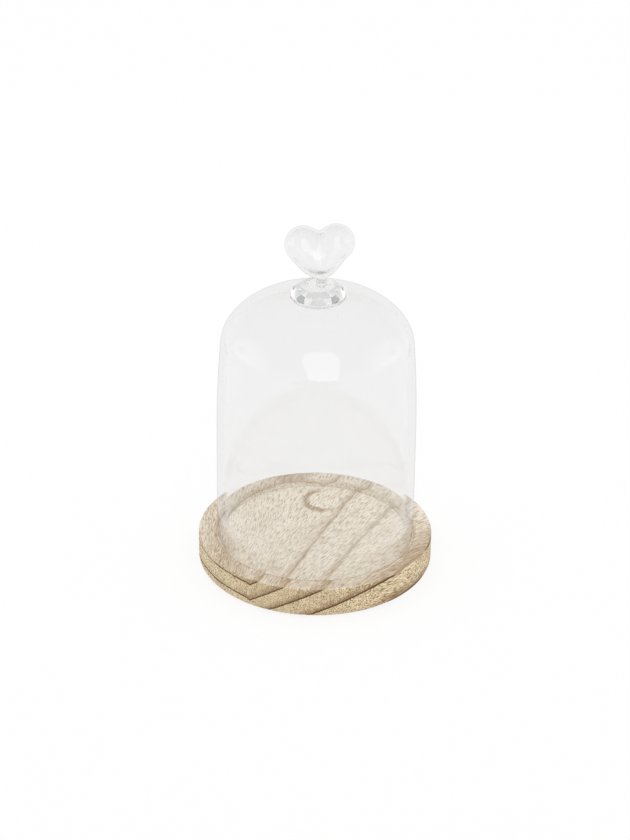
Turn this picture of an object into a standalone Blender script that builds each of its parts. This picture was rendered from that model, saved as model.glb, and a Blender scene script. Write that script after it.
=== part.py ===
"""Bell jar: a blown glass dome with a heart knob, standing in the recess of a turned wooden base.

Frame: +Z up, origin at the centre of the base's underside, -Y the front of the heart.
The glass pieces hang under one empty on the dome's axis, at the height of its rim: the dome lifts
along that axis.
"""
import math

import bmesh
import bpy
from mathutils import Vector

MM = 0.001
GAP = 0.3 * MM                  # clearance between two pieces that touch or are fused
COLLECTION = "bell_jar"

# Wooden base: a disc with a shallow round recess
BASE_RADIUS = 60.0 * MM
BASE_HEIGHT = 17.0 * MM
RECESS_RADIUS = 51.1 * MM
RECESS_DEPTH = 3.0 * MM
TOP_EDGE_RADIUS = 0.9 * MM
BOTTOM_EDGE_RADIUS = 4.0 * MM
LIP_RADIUS = 0.4 * MM           # rounding of the recess's upper edge
BASE_STEPS = 72

# Glass dome: heights are measured from its rim
DOME_HEIGHT = 138.5 * MM
DOME_WALL = 2.0 * MM
RIM_RADIUS = 50.0 * MM          # the fire-polished rim is drawn in a little
BELLY_RADIUS = 50.6 * MM
BELLY_LOW = 24.0 * MM           # below this the side curves in to the rim
BELLY_HIGH = 61.0 * MM          # above this it curves in to the shoulder
BARREL_RADIUS = 607.0 * MM      # radius of that upper curve
CAP_HEIGHT = 27.5 * MM          # the crown is a quarter ellipse of this height
DOME_STEPS = 64
CROWN_RINGS = 13
BARREL_RINGS = 3                # rings between the shoulder and the belly
FOOT_RINGS = 4                  # rings between the belly and the rim

# Solid glass pad fused on the crown, which carries the knob
PAD_RADIUS = 13.5 * MM
PAD_TOP_RADIUS = 7.5 * MM
PAD_TOP = DOME_HEIGHT + 4.1 * MM
PAD_STEPS = 40
PAD_BULGE_RINGS = 8
PAD_UNDER_RINGS = 4

# Short glass tube between the pad and the heart
STEM_OFFSET = 1.6 * MM          # the hand-set knob stands a little to the right of the axis
STEM_RADIUS = 3.5 * MM
STEM_BORE = 1.6 * MM
STEM_TOP = PAD_TOP + GAP + 7.0 * MM
FLARE_RADIUS = 6.4 * MM         # the tube's foot spreads to this
FLARE_HEIGHT = 2.2 * MM         # height over which it sweeps out
FLARE_EDGE = 0.8 * MM
STEM_STEPS = 32
FLARE_RINGS = 5

# Hollow blown heart: two tapered lobes that meet at the tip, and a fuller belly between them
HEART_OFFSET = 0.5 * MM
HEART_CENTRE = DOME_HEIGHT + 26.6 * MM
HEART_LEAN = math.radians(4.7)  # it leans to the left, seen from the front
HEART_WALL = 1.4 * MM
HEART_DEPTH_FACTOR = 1.12       # front to back it is this much deeper than a round lobe
LOBE_SPREAD = 8.3 * MM          # each lobe's centre from the middle plane
LOBE_RADIUS = 9.0 * MM
LOBE_BLEND = 2.4 * MM           # softens the crease between the lobes
TIP_DROP = 15.0 * MM            # the tip's centre below the lobes' centres
TIP_RADIUS = 2.8 * MM
BELLY_CENTRE = Vector((-1.2 * MM, 0.0, -6.5 * MM))
BELLY_BALL = 10.0 * MM
BELLY_BLEND = 6.0 * MM
HEART_SEGMENTS = 40
HEART_RINGS = 24
HEART_MIDDLE = Vector((0.0, 0.0, -2.0 * MM))    # a point well inside, which sees the whole surface
HEART_REACH = 30.0 * MM         # farther from that point than any of the surface
SEARCH_STEPS = 20
HOLE_DEPTH = 8.0 * MM
HOLE_SIDES = 20

# Colour, roughness and transmission of each material
FINISHES = {
    "pale_wood": ((0.66, 0.53, 0.39), 0.62, 0.0),
    "dome_glass": ((0.97, 0.98, 0.97), 0.02, 1.0),
    "pad_glass": ((0.93, 0.96, 0.95), 0.02, 1.0),
    "stem_glass": ((0.95, 0.97, 0.96), 0.02, 1.0),
    "heart_glass": ((0.96, 0.98, 0.97), 0.02, 1.0),
}
GLASS_IOR = 1.47


def clear_scene():
    for obj in list(bpy.data.objects):
        bpy.data.objects.remove(obj, do_unlink=True)


def new_collection(name):
    collection = bpy.data.collections.new(name)
    bpy.context.scene.collection.children.link(collection)
    return collection


def finish(obj, name):
    """Give the object its own Principled material; transmission 1 makes it clear glass."""
    colour, roughness, transmission = FINISHES[name]
    mat = bpy.data.materials.new(name)
    mat.use_nodes = True
    shader = mat.node_tree.nodes["Principled BSDF"]
    shader.inputs["Base Color"].default_value = (*colour, 1.0)
    shader.inputs["Roughness"].default_value = roughness
    shader.inputs["Metallic"].default_value = 0.0
    shader.inputs["Transmission Weight"].default_value = transmission
    if transmission:
        shader.inputs["IOR"].default_value = GLASS_IOR
    obj.data.materials.append(mat)
    return obj


def arc(centre_r, centre_z, radius, start, end, steps):
    """Points (r, z) on a circle from angle start to angle end, in degrees."""
    points = []
    for i in range(steps + 1):
        angle = math.radians(start + (end - start) * i / steps)
        points.append((centre_r + radius * math.cos(angle), centre_z + radius * math.sin(angle)))
    return points


def turned(name, profile, steps, collection, closed=False):
    """A body of revolution about Z from a profile of (r, z) points that runs down its outer side."""
    mesh = bpy.data.meshes.new(name)
    count = len(profile)
    edges = [(i, i + 1) for i in range(count - 1)]
    if closed:
        edges.append((count - 1, 0))
    mesh.from_pydata([(r, 0.0, z) for r, z in profile], edges, [])
    obj = bpy.data.objects.new(name, mesh)
    collection.objects.link(obj)
    screw = obj.modifiers.new("turn", "SCREW")
    screw.axis = "Z"
    screw.angle = 2.0 * math.pi
    screw.steps = steps
    screw.render_steps = steps
    screw.use_merge_vertices = True
    screw.merge_threshold = 0.00001
    screw.use_smooth_shade = True
    return obj


def cut(obj, cutter):
    """Subtract one closed mesh from another."""
    modifier = obj.modifiers.new("cut_" + cutter.name, "BOOLEAN")
    modifier.operation = "DIFFERENCE"
    modifier.solver = "EXACT"
    modifier.object = cutter


def as_cutter(obj):
    obj.hide_render = True
    obj.display_type = "WIRE"
    return obj


# --- wooden base -------------------------------------------------------------------------------

def base_profile():
    """From the recess's centre out over the lip and the rim, then down the side to the underside."""
    floor = BASE_HEIGHT - RECESS_DEPTH
    top_edge = BASE_RADIUS - TOP_EDGE_RADIUS
    bottom_edge = BASE_RADIUS - BOTTOM_EDGE_RADIUS
    profile = [(0.0, floor), (RECESS_RADIUS, floor)]
    profile += arc(RECESS_RADIUS + LIP_RADIUS, BASE_HEIGHT - LIP_RADIUS, LIP_RADIUS, 180, 90, 3)
    profile += arc(top_edge, BASE_HEIGHT - TOP_EDGE_RADIUS, TOP_EDGE_RADIUS, 90, 0, 4)
    profile += arc(bottom_edge, BOTTOM_EDGE_RADIUS, BOTTOM_EDGE_RADIUS, 0, -90, 6)
    profile.append((0.0, 0.0))
    return profile


def make_base(collection):
    return finish(turned("wood_base", base_profile(), BASE_STEPS, collection), "pale_wood")


# --- glass dome --------------------------------------------------------------------------------

def side_radius(height):
    """Outer radius of the dome's side, before the crown closes it."""
    if height < BELLY_LOW:
        return BELLY_RADIUS - (BELLY_RADIUS - RIM_RADIUS) * ((BELLY_LOW - height) / BELLY_LOW) ** 2
    if height < BELLY_HIGH:
        return BELLY_RADIUS
    return BELLY_RADIUS - (height - BELLY_HIGH) ** 2 / (2.0 * BARREL_RADIUS)


def crown_point(angle, inset=0.0):
    """Point (r, z) on the crown: angle 0 at the shoulder, 90 degrees at the top."""
    start = DOME_HEIGHT - CAP_HEIGHT
    outer = start + CAP_HEIGHT * math.sin(angle)
    height = start + (CAP_HEIGHT - inset) * math.sin(angle)
    return (side_radius(outer) - inset) * math.cos(angle), height


def side_heights():
    """Heights of the side's rings, from the shoulder down to the rim's rounding."""
    shoulder = DOME_HEIGHT - CAP_HEIGHT
    rounding = DOME_WALL / 2.0
    barrel = [shoulder + (BELLY_HIGH - shoulder) * i / BARREL_RINGS for i in range(BARREL_RINGS + 1)]
    foot = [BELLY_LOW + (rounding - BELLY_LOW) * i / FOOT_RINGS for i in range(FOOT_RINGS + 1)]
    return barrel + foot


def dome_skin(inset):
    """The dome's wall from its top down to the rim, moved inward by inset."""
    skin = []
    for i in range(CROWN_RINGS):
        skin.append(crown_point(math.radians(90.0 * (1.0 - i / CROWN_RINGS)), inset))
    skin[0] = (0.0, skin[0][1])
    for height in side_heights():
        skin.append((side_radius(height) - inset, height))
    return skin


def make_dome(collection):
    outer = dome_skin(0.0)
    inner = dome_skin(DOME_WALL)
    rounding = DOME_WALL / 2.0
    rim = arc(outer[-1][0] - rounding, rounding, rounding, 0, -180, 6)
    profile = outer[:-1] + rim + inner[-2::-1]
    return finish(turned("glass_dome", profile, DOME_STEPS, collection), "dome_glass")


# --- knob: pad, stem and heart -----------------------------------------------------------------

def make_pad(collection):
    """A solid bun of glass: flat top, bulging side, underside fitted to the crown."""
    edge_angle = math.acos(PAD_RADIUS / side_radius(DOME_HEIGHT))
    edge_r, edge_z = crown_point(edge_angle)
    edge_z += GAP
    bulge_r = edge_r - PAD_TOP_RADIUS
    bulge_z = PAD_TOP - edge_z
    profile = [(0.0, PAD_TOP)]
    for i in range(PAD_BULGE_RINGS + 1):
        angle = math.radians(90.0 * (1.0 - i / PAD_BULGE_RINGS))
        profile.append((PAD_TOP_RADIUS + bulge_r * math.cos(angle), edge_z + bulge_z * math.sin(angle)))
    for i in range(1, PAD_UNDER_RINGS + 1):
        angle = edge_angle + (math.pi / 2.0 - edge_angle) * i / PAD_UNDER_RINGS
        r, z = crown_point(angle)
        profile.append((r, z + GAP))
    profile[-1] = (0.0, profile[-1][1])
    return finish(turned("crown_pad", profile, PAD_STEPS, collection), "pad_glass")


def make_stem(collection, heart_clearance):
    """A tube with a flared foot; its top is cut to the heart's curve."""
    foot = PAD_TOP + GAP
    sweep = FLARE_RADIUS - STEM_RADIUS
    profile = [(STEM_RADIUS, STEM_TOP)]
    for i in range(FLARE_RINGS + 1):
        angle = math.radians(90.0 * i / FLARE_RINGS)
        height = foot + FLARE_EDGE + FLARE_HEIGHT * (1.0 - math.sin(angle))
        profile.append((FLARE_RADIUS - sweep * math.cos(angle), height))
    profile += [(FLARE_RADIUS, foot), (STEM_BORE, foot), (STEM_BORE, STEM_TOP)]
    stem = turned("knob_stem", profile, STEM_STEPS, collection, closed=True)
    stem.location.x = STEM_OFFSET
    cut(stem, heart_clearance)
    return finish(stem, "stem_glass")


def tapered_lobe(point, side):
    """Distance from a cone with round ends that runs from a lobe's centre to the heart's tip."""
    top = Vector((side * LOBE_SPREAD, 0.0, 0.0))
    axis = Vector((0.0, 0.0, -TIP_DROP)) - top
    length = axis.length
    along = (point - top).dot(axis) / length
    aside = math.sqrt(max((point - top).length_squared - along * along, 0.0))
    taper = (LOBE_RADIUS - TIP_RADIUS) / length
    slope = math.sqrt(1.0 - taper * taper)
    station = slope * along - taper * aside
    if station < 0.0:
        return math.hypot(aside, along) - LOBE_RADIUS
    if station > slope * length:
        return math.hypot(aside, along - length) - TIP_RADIUS
    return slope * aside + taper * along - LOBE_RADIUS


def blended(first, second, reach):
    """Smooth union of two distances."""
    overlap = max(reach - abs(first - second), 0.0) / reach
    return min(first, second) - overlap * overlap * reach / 4.0


def heart_distance(point):
    """Distance of a point from the heart's outer surface, negative inside."""
    squeezed = Vector((point.x, point.y / HEART_DEPTH_FACTOR, point.z))
    lobes = blended(tapered_lobe(squeezed, -1.0), tapered_lobe(squeezed, 1.0), LOBE_BLEND)
    belly = (squeezed - BELLY_CENTRE).length - BELLY_BALL
    return blended(lobes, belly, BELLY_BLEND)


def surface_reach(direction, offset):
    """How far the surface, or a skin offset from it, lies from the heart's middle."""
    near, far = 0.0, HEART_REACH
    for _ in range(SEARCH_STEPS):
        reach = (near + far) / 2.0
        if heart_distance(HEART_MIDDLE + direction * reach) < offset:
            near = reach
        else:
            far = reach
    return near


def heart_body(name, offset, collection):
    """A sphere whose points are pushed out to the heart's surface, or to a skin offset from it."""
    bm = bmesh.new()
    bmesh.ops.create_uvsphere(bm, u_segments=HEART_SEGMENTS, v_segments=HEART_RINGS, radius=1.0)
    for vert in bm.verts:
        direction = vert.co.normalized()
        vert.co = HEART_MIDDLE + direction * surface_reach(direction, offset)
    mesh = bpy.data.meshes.new(name)
    bm.to_mesh(mesh)
    bm.free()
    mesh.shade_smooth()
    heart = bpy.data.objects.new(name, mesh)
    heart.location = (HEART_OFFSET, 0.0, HEART_CENTRE)
    heart.rotation_euler.y = -HEART_LEAN
    collection.objects.link(heart)
    return heart


def blow_hole(collection):
    """The hole in the heart's tip that the glass was blown through."""
    bm = bmesh.new()
    bmesh.ops.create_cone(
        bm, cap_ends=True, segments=HOLE_SIDES, radius1=STEM_BORE, radius2=STEM_BORE, depth=HOLE_DEPTH
    )
    mesh = bpy.data.meshes.new("blow_hole")
    bm.to_mesh(mesh)
    bm.free()
    hole = bpy.data.objects.new("blow_hole", mesh)
    hole.location = (STEM_OFFSET, 0.0, STEM_TOP - HOLE_DEPTH / 2.0)
    collection.objects.link(hole)
    return as_cutter(hole)


def make_heart(collection, cavity, hole):
    heart = heart_body("heart_knob", 0.0, collection)
    cut(heart, cavity)
    cut(heart, hole)
    return finish(heart, "heart_glass")


def build():
    clear_scene()
    parts = new_collection(COLLECTION)
    cutters = new_collection("cutters")

    make_base(parts)

    lift_axis = bpy.data.objects.new("dome_lift_axis", None)
    lift_axis.location.z = BASE_HEIGHT - RECESS_DEPTH + GAP
    parts.objects.link(lift_axis)

    heart_clearance = as_cutter(heart_body("heart_clearance", GAP, cutters))
    heart_cavity = as_cutter(heart_body("heart_cavity", -HEART_WALL, cutters))
    hole = blow_hole(cutters)
    glass = [
        make_dome(parts),
        make_pad(parts),
        make_stem(parts, heart_clearance),
        make_heart(parts, heart_cavity, hole),
    ]
    for obj in glass + [heart_clearance, heart_cavity, hole]:
        obj.parent = lift_axis


build()
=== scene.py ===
import math

import bmesh
import bpy
import numpy as np
from mathutils import Matrix, Quaternion, Vector


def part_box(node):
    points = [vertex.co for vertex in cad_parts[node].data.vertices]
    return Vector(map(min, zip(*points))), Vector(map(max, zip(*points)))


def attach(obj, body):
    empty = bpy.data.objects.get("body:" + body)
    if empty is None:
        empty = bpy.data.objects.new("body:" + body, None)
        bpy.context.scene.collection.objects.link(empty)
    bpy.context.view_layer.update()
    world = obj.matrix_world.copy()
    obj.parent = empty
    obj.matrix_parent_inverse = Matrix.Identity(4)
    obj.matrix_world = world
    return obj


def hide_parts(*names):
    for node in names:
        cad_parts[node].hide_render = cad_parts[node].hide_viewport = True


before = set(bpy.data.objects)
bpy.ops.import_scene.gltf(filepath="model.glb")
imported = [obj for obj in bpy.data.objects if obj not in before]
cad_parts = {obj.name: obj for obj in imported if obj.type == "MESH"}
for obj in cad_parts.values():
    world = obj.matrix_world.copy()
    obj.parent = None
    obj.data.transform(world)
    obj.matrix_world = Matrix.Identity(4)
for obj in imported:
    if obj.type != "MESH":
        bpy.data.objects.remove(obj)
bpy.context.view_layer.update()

MM = 0.001
WELD = 0.002 * MM
SHARP_ANGLE = 40.0              # edges sharper than this stay crisp, in degrees

# --- places, from the frame ----------------------------------------------------------------------

_, BASE_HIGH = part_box("wood_base")
DOME_LOW, DOME_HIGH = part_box("glass_dome")
_, PAD_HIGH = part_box("crown_pad")
STEM_LOW, STEM_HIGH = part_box("knob_stem")

# --- the base's shape ----------------------------------------------------------------------------

BASE_RADIUS = BASE_HIGH.x
BASE_TOP = BASE_HIGH.z
RECESS_RADIUS = 51.1 * MM
RECESS_DEPTH = 3.0 * MM
TOP_EDGE_RADIUS = 0.9 * MM
BOTTOM_EDGE_RADIUS = 4.0 * MM
LIP_RADIUS = 0.4 * MM
RECESS_CORNER = 0.3 * MM
BASE_STEPS = 500
WOOD_RING = 0.8 * MM            # distance between rings of the base's mesh on its flat faces
CORNER_RINGS = 3
LIP_RINGS = 6
TOP_EDGE_RINGS = 8
BOTTOM_EDGE_RINGS = 16

# --- the glass's shape ---------------------------------------------------------------------------

CONTACT = 0.02 * MM             # what is left between two pieces that are fused in the real thing
DOME_HEIGHT = DOME_HIGH.z - DOME_LOW.z
DOME_WALL = 2.0 * MM
BELLY_RADIUS = DOME_HIGH.x
RIM_RADIUS = BELLY_RADIUS - 0.6 * MM
BELLY_LOW = 24.0 * MM
BELLY_HIGH = 61.0 * MM
BARREL_RADIUS = 607.0 * MM
CAP_HEIGHT = 27.5 * MM
DOME_STEPS = 192
CROWN_RINGS = 64
LENS_RINGS = 16
RIM_RINGS = 12
SIDE_RING = 2.0 * MM            # distance between rings down its side
PAD_RADIUS = 13.5 * MM
PAD_TOP_RADIUS = 7.5 * MM
PAD_STEPS = 128
PAD_BULGE_RINGS = 24
PAD_SEAT_RINGS = 12
PAD_SHARP_ANGLE = 50.0
JOINT_RADIUS = 8.6 * MM         # the pad is melted to the crown inside this
LENS_RADIUS = 14.2 * MM         # the dome's wall is thicker under the pad
LENS_FLAT_RADIUS = 11.5 * MM    # and as thick as it gets inside this
LENS_DEPTH = 1.2 * MM
STEM_OFFSET = (STEM_LOW.x + STEM_HIGH.x) / 2.0
STEM_RADIUS = 3.5 * MM
STEM_BORE = 1.6 * MM
FLARE_RADIUS = (STEM_HIGH.x - STEM_LOW.x) / 2.0
FLARE_HEIGHT = 1.3 * MM
FLARE_EDGE = 0.6 * MM
FLARE_RINGS = 16
FLARE_EDGE_RINGS = 6
STEM_STEPS = 96
HEART_OFFSET = 0.5 * MM
HEART_CENTRE = DOME_HIGH.z + 26.6 * MM
HEART_LEAN = math.radians(4.7)
HEART_WALL = 1.4 * MM
HEART_DEPTH_FACTOR = 1.12
LOBE_SPREAD = 8.3 * MM
LOBE_RADIUS = 9.0 * MM
LOBE_BLEND = 2.4 * MM
TIP_DROP = 15.0 * MM
TIP_RADIUS = 2.8 * MM
BELLY_CENTRE = np.array((-1.2 * MM, 0.0, -6.5 * MM))
BELLY_BALL = 10.0 * MM
BELLY_BLEND = 6.0 * MM
HEART_MIDDLE = np.array((0.0, 0.0, -2.0 * MM))
HEART_REACH = 30.0 * MM
HEART_CUTS = 47
HEART_HALVINGS = 30             # of the search for its surface along each ray
CUT_OVERLAP = 1.0 * MM          # how far the stem goes on past the cut at its top
DRILL_LIFT = 2.0 * MM           # the blow hole's drill is as long as the stem, this much above it

# --- camera and light ----------------------------------------------------------------------------

CAMERA_DISTANCE = 1.5
CAMERA_ELEVATION = math.radians(28.6)
CAMERA_TARGET = Vector((0.0, 0.0, 0.0806))
CAMERA_ROLL = math.radians(0.7)
CAMERA_SHIFT = -0.0018
CAMERA_REACH = 100.0
SENSOR = 36.0
LENS = 126.94
LIGHT_BOUNCES = 24
CLEAR_BOUNCES = 128


# --- mesh helpers --------------------------------------------------------------------------------

def arc(centre_r, centre_z, radius, start, end, steps):
    """Points (r, z) on a circle from angle start to angle end, in degrees."""
    angles = np.radians(np.linspace(start, end, steps + 1))
    return [(centre_r + radius * math.cos(a), centre_z + radius * math.sin(a)) for a in angles]


def stretch(start, end, step):
    """Points from start to end, both left out, no farther apart than step."""
    (r0, z0), (r1, z1) = start, end
    count = max(int(math.ceil(math.hypot(r1 - r0, z1 - z0) / step)), 1)
    return [(r0 + (r1 - r0) * i / count, z0 + (z1 - z0) * i / count) for i in range(1, count)]


def turned(name, profile, steps, closed=False):
    """A body turned about Z from a profile of (r, z) points that runs down its outer side."""
    mesh = bpy.data.meshes.new(name)
    count = len(profile)
    edges = [(i, i + 1) for i in range(count - 1)]
    if closed:
        edges.append((count - 1, 0))
    mesh.from_pydata([(r, 0.0, z) for r, z in profile], edges, [])
    obj = bpy.data.objects.new(name, mesh)
    bpy.context.scene.collection.objects.link(obj)
    screw = obj.modifiers.new("turn", "SCREW")
    screw.axis = "Z"
    screw.angle = 2.0 * math.pi
    screw.steps = steps
    screw.render_steps = steps
    screw.use_merge_vertices = True
    screw.merge_threshold = WELD
    screw.use_smooth_shade = True
    return settled(obj)


def settled(obj):
    """Turn the object's modifiers into plain geometry."""
    depsgraph = bpy.context.evaluated_depsgraph_get()
    mesh = bpy.data.meshes.new_from_object(obj.evaluated_get(depsgraph), depsgraph=depsgraph)
    obj.modifiers.clear()
    obj.data = mesh
    return obj


def cut(obj, cutter):
    """Subtract a closed mesh and remove it."""
    modifier = obj.modifiers.new("cut", "BOOLEAN")
    modifier.operation = "DIFFERENCE"
    modifier.solver = "EXACT"
    modifier.object = cutter
    settled(obj)
    bpy.data.objects.remove(cutter)
    return obj


def smoothed(obj, angle=SHARP_ANGLE):
    """Smooth shading, with edges sharper than angle, in degrees, kept crisp."""
    obj.data.shade_smooth()
    obj.data.set_sharp_from_angle(angle=math.radians(angle))
    return obj


# --- material helpers ----------------------------------------------------------------------------

class Value:
    """A number in a node tree; arithmetic on it adds Math nodes."""

    def __init__(self, tree, socket):
        self.tree = tree
        self.socket = socket

    def maths(self, operation, *others):
        node = self.tree.nodes.new("ShaderNodeMath")
        node.operation = operation
        for slot, item in zip(node.inputs, (self, *others)):
            if isinstance(item, Value):
                self.tree.links.new(item.socket, slot)
            else:
                slot.default_value = item
        return Value(self.tree, node.outputs[0])

    def __add__(self, other):
        return self.maths("ADD", other)

    __radd__ = __add__

    def __sub__(self, other):
        return self.maths("SUBTRACT", other)

    def __rsub__(self, other):
        return (self * -1.0) + other

    def __mul__(self, other):
        return self.maths("MULTIPLY", other)

    def __truediv__(self, other):
        return self.maths("DIVIDE", other)

    def exp(self):
        return self.maths("EXPONENT")

    def sqrt(self):
        return self.maths("SQRT")

    def sine(self):
        return self.maths("SINE")

    def fract(self):
        return self.maths("FRACT")

    def least(self, other):
        return self.maths("MINIMUM", other)

    def most(self, other):
        return self.maths("MAXIMUM", other)

    def rise(self, start, end, low=0.0, high=1.0):
        """Smoothly from low at start to high at end."""
        node = self.tree.nodes.new("ShaderNodeMapRange")
        node.interpolation_type = "SMOOTHSTEP"
        for slot, item in zip(node.inputs[:5], (self, start, end, low, high)):
            if isinstance(item, Value):
                self.tree.links.new(item.socket, slot)
            else:
                slot.default_value = item
        return Value(self.tree, node.outputs[0])


class Grid(np.ndarray):
    """The same arithmetic as Value's on plain numbers, for a pattern that also shapes a mesh."""

    def exp(self):
        return np.exp(self)

    def sine(self):
        return np.sin(self)

    def fract(self):
        return self - np.floor(self)

    def most(self, other):
        return np.maximum(self, other)

    def rise(self, start, end, low=0.0, high=1.0):
        share = np.clip((self - start) / (end - start), 0.0, 1.0)
        return low + (high - low) * share * share * (3.0 - 2.0 * share)


def vector(x, y, z):
    """A vector socket from three values."""
    tree = next(item.tree for item in (x, y, z) if isinstance(item, Value))
    node = tree.nodes.new("ShaderNodeCombineXYZ")
    for slot, item in zip(node.inputs, (x, y, z)):
        if isinstance(item, Value):
            tree.links.new(item.socket, slot)
        else:
            slot.default_value = item
    return node.outputs[0]


def noise(tree, where, detail=1.0, roughness=0.5):
    """Noise from 0 to 1, about 0.5 on average; where is a vector socket."""
    node = tree.nodes.new("ShaderNodeTexNoise")
    tree.links.new(where, node.inputs["Vector"])
    node.inputs["Scale"].default_value = 1.0
    node.inputs["Detail"].default_value = detail
    node.inputs["Roughness"].default_value = roughness
    return Value(tree, node.outputs[0])


def blend(tree, share, first, second):
    """Mix of two colours, each an RGB triple or a socket; share is the second's."""
    node = tree.nodes.new("ShaderNodeMix")
    node.data_type = "RGBA"
    tree.links.new(share.socket, node.inputs["Factor"])
    for slot, item in ((node.inputs[6], first), (node.inputs[7], second)):
        if isinstance(item, tuple):
            slot.default_value = (*item, 1.0)
        else:
            tree.links.new(item, slot)
    return node.outputs[2]


def mixed(tree, share, first, second):
    """Mix of two shaders; share is the second's."""
    node = tree.nodes.new("ShaderNodeMixShader")
    tree.links.new(share.socket, node.inputs[0])
    tree.links.new(first.outputs[0], node.inputs[1])
    tree.links.new(second.outputs[0], node.inputs[2])
    return node


def transparent(tree, colour=(1.0, 1.0, 1.0)):
    """A shader that lets light straight through, tinted by an RGB triple or a socket."""
    node = tree.nodes.new("ShaderNodeBsdfTransparent")
    if isinstance(colour, tuple):
        node.inputs["Color"].default_value = (*colour, 1.0)
    else:
        tree.links.new(colour, node.inputs["Color"])
    return node


def new_material(name):
    """A material with only its Principled shader and output, and that shader."""
    mat = bpy.data.materials.new(name)
    mat.use_nodes = True
    return mat, mat.node_tree, mat.node_tree.nodes["Principled BSDF"]


# --- wood ----------------------------------------------------------------------------------------

GRAIN = math.radians(70.5)      # direction of the grain, seen from above, from +X
CREASE = -13.6                  # the rings kink on this line, in mm across the grain
FRONT = -57.0                   # the front rim, in mm along the grain
FAN = 0.003                     # the rings spread towards the back, per mm along the grain
FIRST_RING = 4.1                # depth of the first dark ring line at the crease, in mm
RING_SPACING = 8.8
RING_SLOPE = 0.80               # to the right of the crease the rings rise this steeply
RING_FLATTENING = 0.0105        # and less steeply the deeper they lie
LEFT_RISE = 1.5                 # to its left they rise only by this much, in mm
LEFT_TILT = 0.02                # and a little more towards the back
LEFT_REACH = 5.0
LEFT_FALL = 0.006               # and sink again towards the left side
FALL_START = 16.0
CREST = 1.3                     # right by the crease they rise this much more, in mm,
CREST_REACH = 3.0
CREST_ALONG = (-50.0, -38.0)    # but not at the front rim
CREST_DEPTH = (1.5, 2.8)        # and not in the board's top

# waves in the rings: radians per mm across, along and down; where they start; height in mm
SWAY = ((0.04, 0.055, 0.0, 0.6, 0.55), (-0.05, 0.13, 0.11, 2.1, 0.25))
RIPPLE = ((0.61, 0.07, 0.9, 0.0, 0.10), (1.37, 0.0, -0.7, 1.3, 0.07))

# parts of a ring, from one dark line at 0 to the next at 1
LATE_START = 0.30
LATE_START_FLOOR = 0.22         # late wood starts this much later on the recess floor
RING_END = (1.0, 0.985)
BAND_START = (0.80, 0.97)
BAND_END = (1.0, 0.97)
BAND_REST = (0.05, 0.0)         # the band goes on a little past the line, fainter
BAND_REST_SHARE = 0.5
LINE_START = (0.885, 0.94)
GROOVE_START = (0.84, 0.96)
GROOVE_END = (1.0, 0.98)
GROOVE = 0.16 * MM              # depth of the relief along the ring lines

# a pale oval in the recess, with a brown crescent
EYE_ACROSS, EYE_ALONG = -7.6, 34.5
EYE_WIDTH, EYE_LENGTH = 8.2, 9.5
EYE_WAVER = 0.9
WAVER = (0.25, 0.2, 0.2, 2.0)   # fineness per mm across, along and down, and detail
CRESCENT_OUT, CRESCENT_IN = (2.3, 0.95), (0.72, 0.95)
CRESCENT_SIDE = (0.50, -0.50)
DIAGONAL = 0.7
CRESCENT = 1.6
OVAL = (1.0, 0.6)
OVAL_PALE = 0.35

# fibres: fineness across and along the grain, per mm; where they start; detail; roughness
BROAD = (0.16, 0.035, 0.0, 2.0, 0.5)
FIBRE = (0.75, 0.09, 0.0, 2.0, 0.6)
STREAK = (1.5, 0.13, 0.0, 1.0, 0.5)
PORES = (1.70, 0.22, 7.0, 1.0, 0.5)
HAIR = (2.6, 0.08, 0.0, 1.0, 0.5)
VESSELS = (1.9, 0.30, 3.0, 1.0, 0.5)
FIBRE_FAN = 0.008               # they spread towards the back more than the rings
FIBRE_BEND = 6.0                # and wander by this much, in mm
BEND = (0.03, 0.02, 0.05)       # fineness of that, per mm across, along and down

# the board's faces, by how level they are, and by radius and depth in mm
TOP_FACING = (0.25, 0.85)
RECESS_WALL = (54.0, 53.0)
FLOOR_DEPTH = (2.0, 2.8)
SKIN_DEPTH = (2.6, 1.0)
# where shade is painted: the corner of the recess floor and the rounding of its lip
SHADED_CORNER_RADIUS, SHADED_CORNER_DEPTH = (50.2, 51.0), (2.2, 2.9)
SHADED_LIP_IN, SHADED_LIP_OUT = (51.2, 51.5), (52.2, 51.8)
FAR_BANDS = (8.0, 18.0)         # the rings across the floor's right half, in mm across the grain
BACK_RIM = (8.0, 42.0)          # the rim from here to here along the grain is paler
LEFT_SIDE = (CREASE + 1.0, CREASE - 12.0)
RIGHT_SIDE = (20.0, 45.0)

EARLY_WOOD = (0.87, 0.80, 0.67)
LATE_WOOD = (0.47, 0.34, 0.21)
# the side's colours: darker end grain, and painted shade, as the side is lit less than the top
SIDE_EARLY_WOOD_AND_SHADE = (0.80, 0.67, 0.43)
SIDE_LATE_WOOD_AND_SHADE = (0.30, 0.18, 0.075)
RING_LINE = (0.085, 0.045, 0.018)
# the pores' colour, also painted as shade in the recess's corner and along its lip
PORE_AND_PAINTED_SHADE = (0.27, 0.17, 0.08)
VESSEL = (0.22, 0.13, 0.05)
PALE_FIBRE = (0.86, 0.79, 0.68)
TONES = (-0.55, 1.15)           # shades from plain early wood to plain late wood

# how much each of these adds to the shade
FIBRE_TONE = (0.0, 30.0, 0.9, 1.5)      # from and to, in mm across the grain, and how much there
BROAD_TONE, HAIR_TONE = 0.9, 0.6
TOP_LATE, FLOOR_LATE, FAR_LATE, BACK_LATE = 0.80, -0.25, -0.20, -0.35
SKIN_TONE, FLOOR_TONE, BACK_TONE = 0.22, -0.19, -0.46
SIDE_TONE, SIDE_LATE, LEFT_LATE = 1.2, 1.05, -0.60
LEFT_TONE, RIGHT_TONE = -0.24, -0.14

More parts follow.
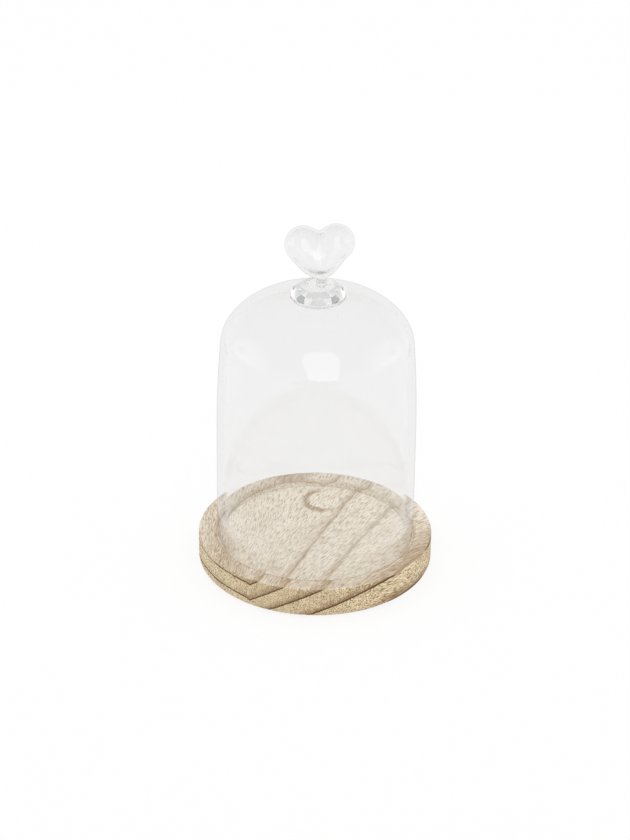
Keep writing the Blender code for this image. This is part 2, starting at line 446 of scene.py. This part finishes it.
# which of the noise shows as each kind of fibre, and its share of the colour on side and top
PALE_LEVEL, PALE_SHARE = (0.52, 0.64), (0.40, 0.65)
PORE_LEVEL, PORE_SHARE, FLOOR_PORES = (0.53, 0.61), (0.42, 0.52), -0.10
VESSEL_LEVEL, VESSEL_SHARE = (0.52, 0.60), (0.85, 0.15)
LINE_SHARE = (0.92, 0.08)
BAND_SHARE, FLOOR_BAND, FAR_BAND = 0.42, -0.17, -0.08
# how much of the painted shade goes into the recess's corner and along its lip
PAINTED_SHADE_SHARE = 0.30

WOOD_ROUGHNESS = 0.62
FIBRE_ROUGHNESS = 0.25
WOOD_SPECULAR = 0.25
BUMP = 0.14 * MM
BUMP_STRENGTH = 0.8
PORE_PITS = (0.54, 0.66)
STREAK_HEIGHT, PORE_HEIGHT, LINE_HEIGHT = 0.8, -0.9, -0.5


def waves(across, along, depth, table):
    """Height of the waves in a table, at a place in mm."""
    height = 0.0
    for by_across, by_along, by_depth, start, size in table:
        turn = along * by_along + across * by_across + depth * by_depth + start
        height = turn.sine() * size + height
    return height


def ring_phase(across, along, depth):
    """Place between two ring lines: 0 just below a line, 1 just above the next one; in mm."""
    sway = waves(across, along, depth, SWAY)
    ripple = waves(across, along, depth, RIPPLE)
    behind = along - FRONT
    right = (across - CREASE + sway).most(0.0) * (behind * -FAN).exp()
    left = (across * -1.0 + CREASE - sway).most(0.0)
    climb = ((left / -LEFT_REACH).exp() * -1.0 + 1.0) * (behind * LEFT_TILT + LEFT_RISE)
    fall = (left - FALL_START).most(0.0)
    crest = (right / -CREST_REACH).exp() * along.rise(*CREST_ALONG)
    crest = crest * depth.rise(*CREST_DEPTH) * CREST
    level = depth + crest + climb - fall * fall * LEFT_FALL + right * RING_SLOPE + ripple
    level = level / (right * RING_FLATTENING + 1.0)
    return ((level - FIRST_RING) / RING_SPACING).fract()


def grain_place(x, y):
    """Distances across and along the grain, in mm, of a place in mm."""
    across = x * math.sin(GRAIN) - y * math.cos(GRAIN)
    along = x * math.cos(GRAIN) + y * math.sin(GRAIN)
    return across, along


class Place:
    """Where a point of the board lies, in mm, and how far it is on the top and in the recess."""

    def __init__(self, tree):
        coordinates = tree.nodes.new("ShaderNodeTexCoord")
        split = tree.nodes.new("ShaderNodeSeparateXYZ")
        facing = tree.nodes.new("ShaderNodeSeparateXYZ")
        tree.links.new(coordinates.outputs["Object"], split.inputs[0])
        tree.links.new(coordinates.outputs["Normal"], facing.inputs[0])
        x, y, z = (Value(tree, socket) / MM for socket in split.outputs)
        self.tree = tree
        self.across, self.along = grain_place(x, y)
        self.depth = BASE_TOP / MM - z
        self.radius = (x * x + y * y).sqrt()
        level = Value(tree, facing.outputs[2]).rise(*TOP_FACING)
        self.top = level.most(self.radius.rise(*RECESS_WALL))
        self.floor = self.depth.rise(*FLOOR_DEPTH) * self.top
        spread = (self.across - CREASE) * (self.along * -FIBRE_FAN).exp()
        self.spread = spread + (self.noise(*BEND) - 0.5) * FIBRE_BEND

    def by_face(self, side, top):
        """One value on the board's side and another on its top."""
        return self.top * (top - side) + side

    def noise(self, by_across, by_along, by_depth, detail=1.0):
        """Noise of this fineness per mm across, along and down."""
        where = vector(self.across * by_across, self.along * by_along, self.depth * by_depth)
        return noise(self.tree, where, detail)

    def fibres(self, fine, long, start, detail, roughness):
        """Noise drawn out along the grain, so that the end grain shows it as specks."""
        where = vector(self.spread * fine, self.along * long, self.depth * fine + start)
        return noise(self.tree, where, detail, roughness)


def ring_marks(place):
    """The growth rings at a place: the share of brown late wood, which lies above each dark line,
    of the band along the line, and of the line."""
    phase = ring_phase(place.across, place.along, place.depth)
    late = phase.rise(place.floor * LATE_START_FLOOR + LATE_START, 1.0)
    late = late * late * phase.rise(*RING_END)
    band = phase.rise(*BAND_START) * phase.rise(*BAND_END)
    band = band + phase.rise(*BAND_REST) * BAND_REST_SHARE
    line = phase.rise(*LINE_START) * phase.rise(*RING_END)
    return late, band, line


def eye_mark(place):
    """Shade of the crescent on the recess floor, and, below 0, of the pale oval in it."""
    x = (place.across - EYE_ACROSS) / EYE_WIDTH
    y = (place.along - EYE_ALONG) / EYE_LENGTH
    waver = place.noise(*WAVER) - 0.5
    eye = x * x + y * y + waver * EYE_WAVER
    crescent = eye.rise(*CRESCENT_OUT) * eye.rise(*CRESCENT_IN)
    crescent = crescent * (x * DIAGONAL + y * DIAGONAL).rise(*CRESCENT_SIDE)
    return (crescent * CRESCENT - eye.rise(*OVAL) * OVAL_PALE) * place.floor


def solid_wood(place, late, fibre):
    """Colour of the wood between its fibres, pores and ring lines; the side's colours hold painted
    shade as well as the darker end grain.
    """
    tree, top, floor, across = place.tree, place.top, place.floor, place.across
    tone = (fibre - 0.5) * across.rise(*FIBRE_TONE)
    tone = tone + (place.fibres(*BROAD) - 0.5) * BROAD_TONE
    tone = tone + (place.fibres(*HAIR) - 0.5) * HAIR_TONE

    # the top is browner in its skin, and paler on the recess floor and round the back
    skin = place.depth.rise(*SKIN_DEPTH) * top
    far = across.rise(*FAR_BANDS) * floor
    back = place.along.rise(*BACK_RIM) * (1.0 - floor)
    ring = late * (TOP_LATE + floor * FLOOR_LATE + far * FAR_LATE + back * BACK_LATE)
    shade = tone + ring + eye_mark(place)
    shade = shade + skin * SKIN_TONE + floor * FLOOR_TONE + back * BACK_TONE
    upper = blend(tree, shade.rise(*TONES), EARLY_WOOD, LATE_WOOD)

    # the side is paler to the left of the crease and at the far right
    left = across.rise(*LEFT_SIDE)
    ring = late * (SIDE_LATE + left * LEFT_LATE)
    shade = tone * SIDE_TONE + ring + left * LEFT_TONE + across.rise(*RIGHT_SIDE) * RIGHT_TONE
    side = blend(tree, shade.rise(*TONES), SIDE_EARLY_WOOD_AND_SHADE, SIDE_LATE_WOOD_AND_SHADE)
    return blend(tree, top, side, upper)


def wood_material():
    mat, tree, shader = new_material("pale_solid_wood")
    place = Place(tree)
    top, floor, radius = place.top, place.floor, place.radius
    late, band, line = ring_marks(place)
    fibre = place.fibres(*FIBRE)
    streak = place.fibres(*STREAK)
    pores = place.fibres(*PORES)
    vessels = place.fibres(*VESSELS)

    colour = solid_wood(place, late, fibre)
    share = streak.rise(*PALE_LEVEL) * place.by_face(*PALE_SHARE)
    colour = blend(tree, share, colour, PALE_FIBRE)
    share = pores.rise(*PORE_LEVEL) * (place.by_face(*PORE_SHARE) + floor * FLOOR_PORES)
    colour = blend(tree, share, colour, PORE_AND_PAINTED_SHADE)
    share = vessels.rise(*VESSEL_LEVEL) * place.by_face(*VESSEL_SHARE)
    colour = blend(tree, share, colour, VESSEL)
    far = place.across.rise(*FAR_BANDS) * floor
    share = band * top * (BAND_SHARE + floor * FLOOR_BAND + far * FAR_BAND)
    colour = blend(tree, share, colour, LATE_WOOD)

    # painted shade in the recess's corner, where its floor meets the wall, and along its lip
    corner = radius.rise(*SHADED_CORNER_RADIUS) * place.depth.rise(*SHADED_CORNER_DEPTH)
    lip = radius.rise(*SHADED_LIP_IN) * radius.rise(*SHADED_LIP_OUT)
    colour = blend(tree, (corner + lip) * top * PAINTED_SHADE_SHARE, colour, PORE_AND_PAINTED_SHADE)
    colour = blend(tree, line * place.by_face(*LINE_SHARE), colour, RING_LINE)
    tree.links.new(colour, shader.inputs["Base Color"])

    roughness = (fibre - 0.5) * FIBRE_ROUGHNESS + WOOD_ROUGHNESS
    tree.links.new(roughness.socket, shader.inputs["Roughness"])
    shader.inputs["Specular IOR Level"].default_value = WOOD_SPECULAR

    height = streak * STREAK_HEIGHT + pores.rise(*PORE_PITS) * PORE_HEIGHT + line * LINE_HEIGHT
    bump = tree.nodes.new("ShaderNodeBump")
    bump.inputs["Strength"].default_value = BUMP_STRENGTH
    bump.inputs["Distance"].default_value = BUMP
    tree.links.new(height.socket, bump.inputs["Height"])
    tree.links.new(bump.outputs[0], shader.inputs["Normal"])
    return mat


def base_profile():
    """From the recess's centre over the lip and the rim, then down the side to the underside."""
    floor = BASE_TOP - RECESS_DEPTH
    top_edge = BASE_RADIUS - TOP_EDGE_RADIUS
    bottom_edge = BASE_RADIUS - BOTTOM_EDGE_RADIUS
    corner = arc(RECESS_RADIUS - RECESS_CORNER, floor + RECESS_CORNER, RECESS_CORNER, -90, 0,
                 CORNER_RINGS)
    lip = arc(RECESS_RADIUS + LIP_RADIUS, BASE_TOP - LIP_RADIUS, LIP_RADIUS, 180, 90, LIP_RINGS)
    shoulder = arc(top_edge, BASE_TOP - TOP_EDGE_RADIUS, TOP_EDGE_RADIUS, 90, 0,
                   TOP_EDGE_RINGS)
    heel = arc(bottom_edge, BOTTOM_EDGE_RADIUS, BOTTOM_EDGE_RADIUS, 0, -90,
               BOTTOM_EDGE_RINGS)
    runs = [[(0.0, floor)], corner, lip, shoulder, heel, [(0.0, 0.0)]]
    profile = list(runs[0])
    for run in runs[1:]:
        profile += stretch(profile[-1], run[0], WOOD_RING) + run
    return profile


def carve(base):
    """Sink the base's surface a little where the late wood ends, as wire brushing leaves it."""
    mesh = base.data
    places = np.empty(len(mesh.vertices) * 3)
    normals = np.empty(len(mesh.vertices) * 3)
    mesh.vertices.foreach_get("co", places)
    mesh.vertices.foreach_get("normal", normals)
    places = places.reshape(-1, 3)
    x, y, z = (places / MM).T.view(Grid)
    phase = ring_phase(*grain_place(x, y), BASE_TOP / MM - z)
    groove = phase.rise(*GROOVE_START) * phase.rise(*GROOVE_END)
    places -= normals.reshape(-1, 3) * np.asarray(groove)[:, None] * GROOVE
    mesh.vertices.foreach_set("co", places.ravel())
    mesh.update()


def make_base():
    base = turned("wood_plinth", base_profile(), BASE_STEPS)
    carve(base)
    smoothed(base)
    base.data.materials.append(wood_material())
    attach(base, "base")
    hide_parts("wood_base")
    return base


# --- glass ---------------------------------------------------------------------------------------

GLASS_IOR = 1.47
GLASS_GREY = (0.938, 0.938, 0.938)      # what one wall lets through, both its surfaces together
GLASS_SHEEN = (0.90, 0.90, 0.90)        # tint of its reflections
WALL_TURNS = 14                         # light caught in a wall for longer leaves it
KNOB_TURNS = 7
CAUGHT_LIGHT = (0.79, 0.80, 0.80)
BENT_EDGE = (0.78, 0.97)                # the plain edge as light that is already bent meets it
BENT_EDGE_GREY = 0.91

# each piece's plain edge, where it is first seen: its start and its end, what it lets through, and
# how much darker its outline is, painted shade in place of the darker reflections seen edge on
WALL_EDGE = (0.58, 0.70, 0.87, 0.12)
BUN_EDGE = (0.80, 0.97, 0.84, 0.20)
STEM_EDGE = (0.30, 0.60, 0.88, 0.32)
HEART_EDGE = (0.42, 0.58, 0.89, 0.36)
OUTLINE = (0.80, 1.0)
WALL_MIRROR = 1.7                       # index that reflects as much as both its surfaces do


def edge_on(tree, facing, light, start, end, grey, outline):
    """Glass seen edge on: straight through the whole wall, dimmed once where it's first met, with
    the reflections of its surfaces together. Its share from start to end, and the shader."""
    camera = Value(tree, light.outputs["Is Camera Ray"])
    later = Value(tree, light.outputs["Transparent Depth"]).least(1.0)
    first = camera * (1.0 - later)
    bent = 1.0 - camera
    share = first * facing.rise(start, end) + camera * later + bent * facing.rise(*BENT_EDGE)
    # painted shade: the outline is darker where the glass is seen edge on
    edge = facing.rise(*OUTLINE) * -outline + grey
    dimming = first * (edge - 1.0) + bent * (BENT_EDGE_GREY - 1.0) + 1.0
    through = transparent(tree, vector(dimming, dimming, dimming))
    mirror = tree.nodes.new("ShaderNodeBsdfGlossy")
    tree.links.new(vector(edge, edge, edge), mirror.inputs["Color"])
    mirror.inputs["Roughness"].default_value = 0.0
    fresnel = tree.nodes.new("ShaderNodeFresnel")
    fresnel.inputs["IOR"].default_value = WALL_MIRROR
    return share, mixed(tree, Value(tree, fresnel.outputs[0]) * first, through, mirror)


def glass_material(name, turns, look):
    """Clear glass, a little grey, and plainer where it's seen edge on. Lamps and diffuse light pass
    straight through it, and light that is still caught in it after that many turns leaves it
    dimmed."""
    mat, tree, shader = new_material(name)
    shader.inputs["Base Color"].default_value = (*GLASS_GREY, 1.0)
    shader.inputs["Roughness"].default_value = 0.0
    shader.inputs["IOR"].default_value = GLASS_IOR
    shader.inputs["Specular Tint"].default_value = (*GLASS_SHEEN, 1.0)
    shader.inputs["Transmission Weight"].default_value = 1.0

    light = tree.nodes.new("ShaderNodeLightPath")
    weight = tree.nodes.new("ShaderNodeLayerWeight")
    share, plain = edge_on(tree, Value(tree, weight.outputs["Facing"]), light, *look)
    glass = mixed(tree, share, shader, plain)
    shadow = Value(tree, light.outputs["Is Shadow Ray"])
    diffuse = Value(tree, light.outputs["Is Diffuse Ray"])
    glass = mixed(tree, shadow.most(diffuse), glass, transparent(tree))
    caught = Value(tree, light.outputs["Ray Depth"]).maths("GREATER_THAN", turns)
    glass = mixed(tree, caught, glass, transparent(tree, CAUGHT_LIGHT))
    tree.links.new(glass.outputs[0], tree.nodes["Material Output"].inputs["Surface"])
    return mat


def joint_material(name):
    """Where two pieces of glass are melted together, light goes on as in one piece."""
    mat = bpy.data.materials.new(name)
    mat.use_nodes = True
    tree = mat.node_tree
    tree.nodes.remove(tree.nodes["Principled BSDF"])
    surface = tree.nodes["Material Output"].inputs["Surface"]
    tree.links.new(transparent(tree).outputs[0], surface)
    return mat


def fuse(obj, radius, low, high, up):
    """Faces inside that cylinder round Z which face up, or down, become a melted joint."""
    for face in obj.data.polygons:
        x, y, z = face.center
        if low < z < high and math.hypot(x, y) < radius and face.normal.z * up > 0.0:
            face.material_index = 1


def finish_glass(obj, node, turns, look):
    obj.data.materials.append(glass_material(obj.name, turns, look))
    obj.data.materials.append(joint_material(obj.name + "_joint"))
    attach(obj, "dome")
    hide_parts(node)
    return obj


def side_radius(height):
    """Outer radius of the dome's side, before the crown closes it; height is from the rim."""
    if height < BELLY_LOW:
        share = (BELLY_LOW - height) / BELLY_LOW
        return BELLY_RADIUS - (BELLY_RADIUS - RIM_RADIUS) * share ** 2
    if height < BELLY_HIGH:
        return BELLY_RADIUS
    return BELLY_RADIUS - (height - BELLY_HIGH) ** 2 / (2.0 * BARREL_RADIUS)


def crown_point(angle, inset=0.0):
    """Point (r, z) on the crown: angle 0 at the shoulder, 90 degrees at the top."""
    start = DOME_HEIGHT - CAP_HEIGHT
    outer = start + CAP_HEIGHT * math.sin(angle)
    height = start + (CAP_HEIGHT - inset) * math.sin(angle)
    return (side_radius(outer) - inset) * math.cos(angle), DOME_LOW.z + height


def crown_angle(radius):
    """Where on the crown that radius is, near enough to its top."""
    return math.acos(radius / side_radius(DOME_HEIGHT))


PAD_EDGE = crown_angle(PAD_RADIUS)
PAD_JOINT = crown_angle(JOINT_RADIUS)
LENS_EDGE = crown_angle(LENS_RADIUS)
LENS_FLAT = crown_angle(LENS_FLAT_RADIUS)


def dome_skin(inset):
    """The dome's wall from its top down to the rim, moved inward by inset."""
    angles = [math.pi / 2.0 * (1.0 - i / CROWN_RINGS) for i in range(CROWN_RINGS)]
    angles = [angle for angle in angles if not LENS_EDGE < angle < LENS_FLAT]
    angles += [PAD_JOINT, *np.linspace(LENS_EDGE, LENS_FLAT, LENS_RINGS)]
    skin = []
    for angle in sorted(angles, reverse=True):
        r, z = crown_point(angle, inset)
        share = min(max((angle - LENS_EDGE) / (LENS_FLAT - LENS_EDGE), 0.0), 1.0)
        if inset > 0.0:
            z -= LENS_DEPTH * math.sqrt(1.0 - (1.0 - share) ** 2)
        skin.append((r, z))
    skin[0] = (0.0, skin[0][1])
    shoulder = DOME_HEIGHT - CAP_HEIGHT
    rings = int((shoulder - DOME_WALL / 2.0) / SIDE_RING)
    for i in range(rings + 1):
        height = shoulder + (DOME_WALL / 2.0 - shoulder) * i / rings
        skin.append((side_radius(height) - inset, DOME_LOW.z + height))
    return skin


def make_dome():
    outer = dome_skin(0.0)
    inner = dome_skin(DOME_WALL)
    rounding = DOME_WALL / 2.0
    rim = arc(outer[-1][0] - rounding, DOME_LOW.z + rounding, rounding, 0, -180, RIM_RINGS)
    dome = turned("dome_shell", outer[:-1] + rim + inner[-2::-1], DOME_STEPS)
    fuse(dome, crown_point(PAD_JOINT)[0], DOME_HIGH.z - CAP_HEIGHT, PAD_HIGH.z, 1.0)
    return finish_glass(dome, "glass_dome", WALL_TURNS, WALL_EDGE)


def make_pad():
    """A solid bun of glass melted onto the crown."""
    edge_r, edge_z = crown_point(PAD_EDGE)
    edge_z += CONTACT
    bulge_r = edge_r - PAD_TOP_RADIUS
    bulge_z = PAD_HIGH.z - edge_z
    profile = [(r, PAD_HIGH.z) for r in (0.0, STEM_BORE, STEM_RADIUS, FLARE_RADIUS)]
    for angle in np.radians(np.linspace(90.0, 0.0, PAD_BULGE_RINGS)):
        r = PAD_TOP_RADIUS + bulge_r * math.cos(angle)
        profile.append((r, edge_z + bulge_z * math.sin(angle)))
    under = np.linspace(PAD_EDGE, PAD_JOINT, PAD_SEAT_RINGS)[1:]
    middle = np.linspace(PAD_JOINT, math.pi / 2.0, PAD_SEAT_RINGS)[1:]
    for angle in (*under, *middle):
        r, z = crown_point(angle)
        profile.append((r, z + CONTACT))
    profile[-1] = (0.0, profile[-1][1])
    pad = turned("crown_bun", profile, PAD_STEPS)
    smoothed(pad, PAD_SHARP_ANGLE)
    fuse(pad, crown_point(PAD_JOINT)[0], 0.0, PAD_HIGH.z, -1.0)
    return finish_glass(pad, "crown_pad", WALL_TURNS, BUN_EDGE)


def tapered_lobe(points, side):
    """Distance of each point from a cone with round ends, from a lobe to the heart's tip."""
    top = np.array((side * LOBE_SPREAD, 0.0, 0.0))
    axis = np.array((0.0, 0.0, -TIP_DROP)) - top
    length = np.linalg.norm(axis)
    away = points - top
    along = away @ axis / length
    aside = np.sqrt(np.maximum((away ** 2).sum(1) - along ** 2, 0.0))
    taper = (LOBE_RADIUS - TIP_RADIUS) / length
    slope = math.sqrt(1.0 - taper * taper)
    station = slope * along - taper * aside
    distance = slope * aside + taper * along - LOBE_RADIUS
    distance = np.where(station < 0.0, np.hypot(aside, along) - LOBE_RADIUS, distance)
    tip = np.hypot(aside, along - length) - TIP_RADIUS
    return np.where(station > slope * length, tip, distance)


def blended(first, second, reach):
    """Smooth union of two distances."""
    overlap = np.maximum(reach - np.abs(first - second), 0.0) / reach
    return np.minimum(first, second) - overlap * overlap * reach / 4.0


def heart_distance(points):
    """Distance of each point from the heart's outer surface, negative inside."""
    squeezed = points / np.array((1.0, HEART_DEPTH_FACTOR, 1.0))
    lobes = blended(tapered_lobe(squeezed, -1.0), tapered_lobe(squeezed, 1.0), LOBE_BLEND)
    belly = np.linalg.norm(squeezed - BELLY_CENTRE, axis=1) - BELLY_BALL
    return blended(lobes, belly, BELLY_BLEND)


def heart_skin(name, offset):
    """A cube's subdivided faces pushed out to the heart's surface, or to a skin offset from it."""
    bm = bmesh.new()
    bmesh.ops.create_cube(bm, size=2.0)
    bmesh.ops.subdivide_edges(bm, edges=bm.edges[:], cuts=HEART_CUTS, use_grid_fill=True)
    mesh = bpy.data.meshes.new(name)
    bm.to_mesh(mesh)
    bm.free()
    flat = np.empty(len(mesh.vertices) * 3)
    mesh.vertices.foreach_get("co", flat)
    cube = flat.reshape(-1, 3)
    rays = np.tan(cube * math.pi / 4.0)
    rays /= np.linalg.norm(rays, axis=1)[:, None]
    near = np.zeros(len(rays))
    far = np.full(len(rays), HEART_REACH)
    for _ in range(HEART_HALVINGS):
        reach = (near + far) / 2.0
        inside = heart_distance(HEART_MIDDLE + rays * reach[:, None]) < offset
        near = np.where(inside, reach, near)
        far = np.where(inside, far, reach)
    mesh.vertices.foreach_set("co", (HEART_MIDDLE + rays * near[:, None]).ravel())
    mesh.update()
    heart = bpy.data.objects.new(name, mesh)
    heart.location = (HEART_OFFSET, 0.0, HEART_CENTRE)
    heart.rotation_euler.y = -HEART_LEAN
    bpy.context.scene.collection.objects.link(heart)
    bpy.context.view_layer.update()
    mesh.transform(heart.matrix_world)
    heart.matrix_world = Matrix.Identity(4)
    return heart


def make_stem(heart_clearance):
    """A tube with a flared foot; its top is cut to the heart's curve."""
    foot = PAD_HIGH.z + CONTACT
    top = STEM_HIGH.z + CUT_OVERLAP
    sweep = FLARE_RADIUS - STEM_RADIUS
    profile = [(STEM_RADIUS, top)]
    for angle in np.radians(np.linspace(0.0, 90.0, FLARE_RINGS)):
        height = foot + FLARE_EDGE + FLARE_HEIGHT * (1.0 - math.sin(angle))
        profile.append((FLARE_RADIUS - sweep * math.cos(angle), height))
    rounding = FLARE_EDGE / 2.0
    profile += arc(FLARE_RADIUS - rounding, foot + rounding, rounding, 0, -90, FLARE_EDGE_RINGS)
    profile += [(STEM_BORE, foot), (STEM_BORE, top)]
    stem = turned("stem_tube", profile, STEM_STEPS, closed=True)
    stem.data.transform(Matrix.Translation((STEM_OFFSET, 0.0, 0.0)))
    cut(stem, heart_clearance)
    smoothed(stem)
    return finish_glass(stem, "knob_stem", KNOB_TURNS, STEM_EDGE)


def make_heart():
    """A hollow blown heart, open at its tip into the stem."""
    heart = heart_skin("heart_bulb", 0.0)
    cut(heart, heart_skin("cavity", -HEART_WALL))
    top = STEM_HIGH.z + DRILL_LIFT
    bottom = STEM_LOW.z + DRILL_LIFT
    drill = [(0.0, top), (STEM_BORE, top), (STEM_BORE, bottom), (0.0, bottom)]
    hole = turned("hole", drill, STEM_STEPS)
    hole.data.transform(Matrix.Translation((STEM_OFFSET, 0.0, 0.0)))
    cut(heart, hole)
    smoothed(heart)
    return finish_glass(heart, "heart_knob", KNOB_TURNS, HEART_EDGE)


# --- the stage -----------------------------------------------------------------------------------

FLOOR_SIZE = 8.0
FLOOR_DROP = 0.2 * MM
FLOOR_GLOW = 0.84
FLOOR_GREY = 0.15
HORIZON = 0.96                  # brightness of the studio round the horizon
CEILING = 0.74
CEILING_START = 0.5             # height, as a sine, from which it is the ceiling's

# azimuth and elevation of soft patches to both sides, and their inner and outer radii, in degrees
FLAGS = (105.0, 14.0, 3.0, 9.0)
FLAG_DARKNESS = 0.5
SIDE_BOXES = (92.0, 14.0, 0.0, 34.0)
SIDE_BOX = 0.50                 # what the boxes add to the studio's brightness

# a soft window in front: widths are tangents of the azimuth, heights are sines of the elevation
WINDOW = 1.0
WINDOW_BEARING = 0.14
WINDOW_HEIGHT = 0.47
WINDOW_HALF_HEIGHT = 0.48
WINDOW_HALF_WIDTH = 0.35
WINDOW_WIDENING = 0.75          # it is wider by this at the zenith
WINDOW_EDGE = (1.15, 0.8)
LEAST_FRONT = 0.02              # keeps the bearing finite at the sides
BEHIND = (0.0, 0.03)            # there is none of it behind

OVERHEAD = (180.0, 80.0)        # azimuth and elevation of the lamp
OVERHEAD_DISTANCE = 1.6
OVERHEAD_SIZE = 1.6
OVERHEAD_RADIANCE = 0.6
LAMP_AIM = 0.1                  # height it faces


def make_floor():
    bpy.ops.mesh.primitive_plane_add(size=FLOOR_SIZE, location=(0.0, 0.0, -FLOOR_DROP))
    floor = bpy.context.object
    floor.name = "stage_floor"
    mat, _, shader = new_material("stage_white")
    shader.inputs["Base Color"].default_value = (FLOOR_GREY, FLOOR_GREY, FLOOR_GREY, 1.0)
    shader.inputs["Roughness"].default_value = 1.0
    shader.inputs["Specular IOR Level"].default_value = 0.0
    shader.inputs["Emission Color"].default_value = (1.0, 1.0, 1.0, 1.0)
    shader.inputs["Emission Strength"].default_value = FLOOR_GLOW
    floor.data.materials.append(mat)


def compass(azimuth, elevation):
    """Direction from the object; azimuth 0 is towards -Y, the front, and 90 towards +X."""
    turn, lift = math.radians(azimuth), math.radians(elevation)
    x, y = math.sin(turn) * math.cos(lift), -math.cos(turn) * math.cos(lift)
    return Vector((x, y, math.sin(lift)))


def patch(directions, azimuth, elevation, inner, outer):
    """A soft round patch of the world: 1 within inner degrees of that direction, 0 beyond outer."""
    x, y, z = directions
    way = compass(azimuth, elevation)
    facing = x * way.x + y * way.y + z * way.z
    return facing.rise(math.cos(math.radians(outer)), math.cos(math.radians(inner)))


def fourth(value):
    square = value * value
    return square * square


def window(x, y, z):
    """The window's share of a direction: a soft rectangle with round corners."""
    front = y * -1.0
    width = fourth(z) * WINDOW_WIDENING + WINDOW_HALF_WIDTH
    bearing = (x / front.most(LEAST_FRONT) - WINDOW_BEARING) / width
    height = (z - WINDOW_HEIGHT) / WINDOW_HALF_HEIGHT
    return (fourth(bearing) + fourth(height)).rise(*WINDOW_EDGE) * front.rise(*BEHIND)


def make_world():
    world = bpy.data.worlds.new("studio")
    bpy.context.scene.world = world
    world.use_nodes = True
    tree = world.node_tree
    background = tree.nodes["Background"]
    coordinates = tree.nodes.new("ShaderNodeTexCoord")
    split = tree.nodes.new("ShaderNodeSeparateXYZ")
    tree.links.new(coordinates.outputs["Generated"], split.inputs[0])
    directions = [Value(tree, socket) for socket in split.outputs]
    x, y, z = directions
    strength = z.rise(0.0, CEILING_START, HORIZON, CEILING)
    azimuth, *rest = FLAGS
    for side in (-1.0, 1.0):
        flag = patch(directions, side * azimuth, *rest)
        strength = strength * (1.0 - flag * FLAG_DARKNESS)
    azimuth, *rest = SIDE_BOXES
    for side in (-1.0, 1.0):
        strength = strength + patch(directions, side * azimuth, *rest) * SIDE_BOX
    strength = strength + window(x, y, z) * WINDOW
    tree.links.new(strength.socket, background.inputs["Strength"])
    background.inputs["Color"].default_value = (1.0, 1.0, 1.0, 1.0)


def make_lamp():
    """A soft box overhead that faces the dome and doesn't show in the glass."""
    light = bpy.data.lights.new("overhead", "AREA")
    light.size = OVERHEAD_SIZE
    light.energy = OVERHEAD_RADIANCE * math.pi * OVERHEAD_SIZE ** 2
    obj = bpy.data.objects.new("overhead", light)
    way = compass(*OVERHEAD)
    obj.location = Vector((0.0, 0.0, LAMP_AIM)) + way * OVERHEAD_DISTANCE
    obj.rotation_euler = way.to_track_quat("Z", "Y").to_euler()
    obj.visible_camera = False
    obj.visible_glossy = False
    obj.visible_transmission = False
    bpy.context.scene.collection.objects.link(obj)


def make_camera():
    camera = bpy.data.cameras.new("camera")
    camera.sensor_width = SENSOR
    camera.lens = LENS
    camera.shift_x = CAMERA_SHIFT
    camera.clip_end = CAMERA_REACH
    obj = bpy.data.objects.new("camera", camera)
    away = Vector((0.0, -math.cos(CAMERA_ELEVATION), math.sin(CAMERA_ELEVATION)))
    obj.location = CAMERA_TARGET + away * CAMERA_DISTANCE
    turn = away.to_track_quat("Z", "Y")
    obj.rotation_euler = (turn @ Quaternion((0.0, 0.0, 1.0), CAMERA_ROLL)).to_euler()
    bpy.context.scene.collection.objects.link(obj)
    bpy.context.scene.camera = obj


def set_look():
    scene = bpy.context.scene
    scene.view_settings.view_transform = "Standard"
    scene.cycles.max_bounces = LIGHT_BOUNCES
    scene.cycles.transmission_bounces = LIGHT_BOUNCES
    scene.cycles.transparent_max_bounces = CLEAR_BOUNCES
    scene.cycles.glossy_bounces = LIGHT_BOUNCES


make_base()
make_dome()
make_pad()
make_stem(heart_skin("clearance", CONTACT))
make_heart()
make_floor()
make_world()
make_lamp()
make_camera()
set_look()
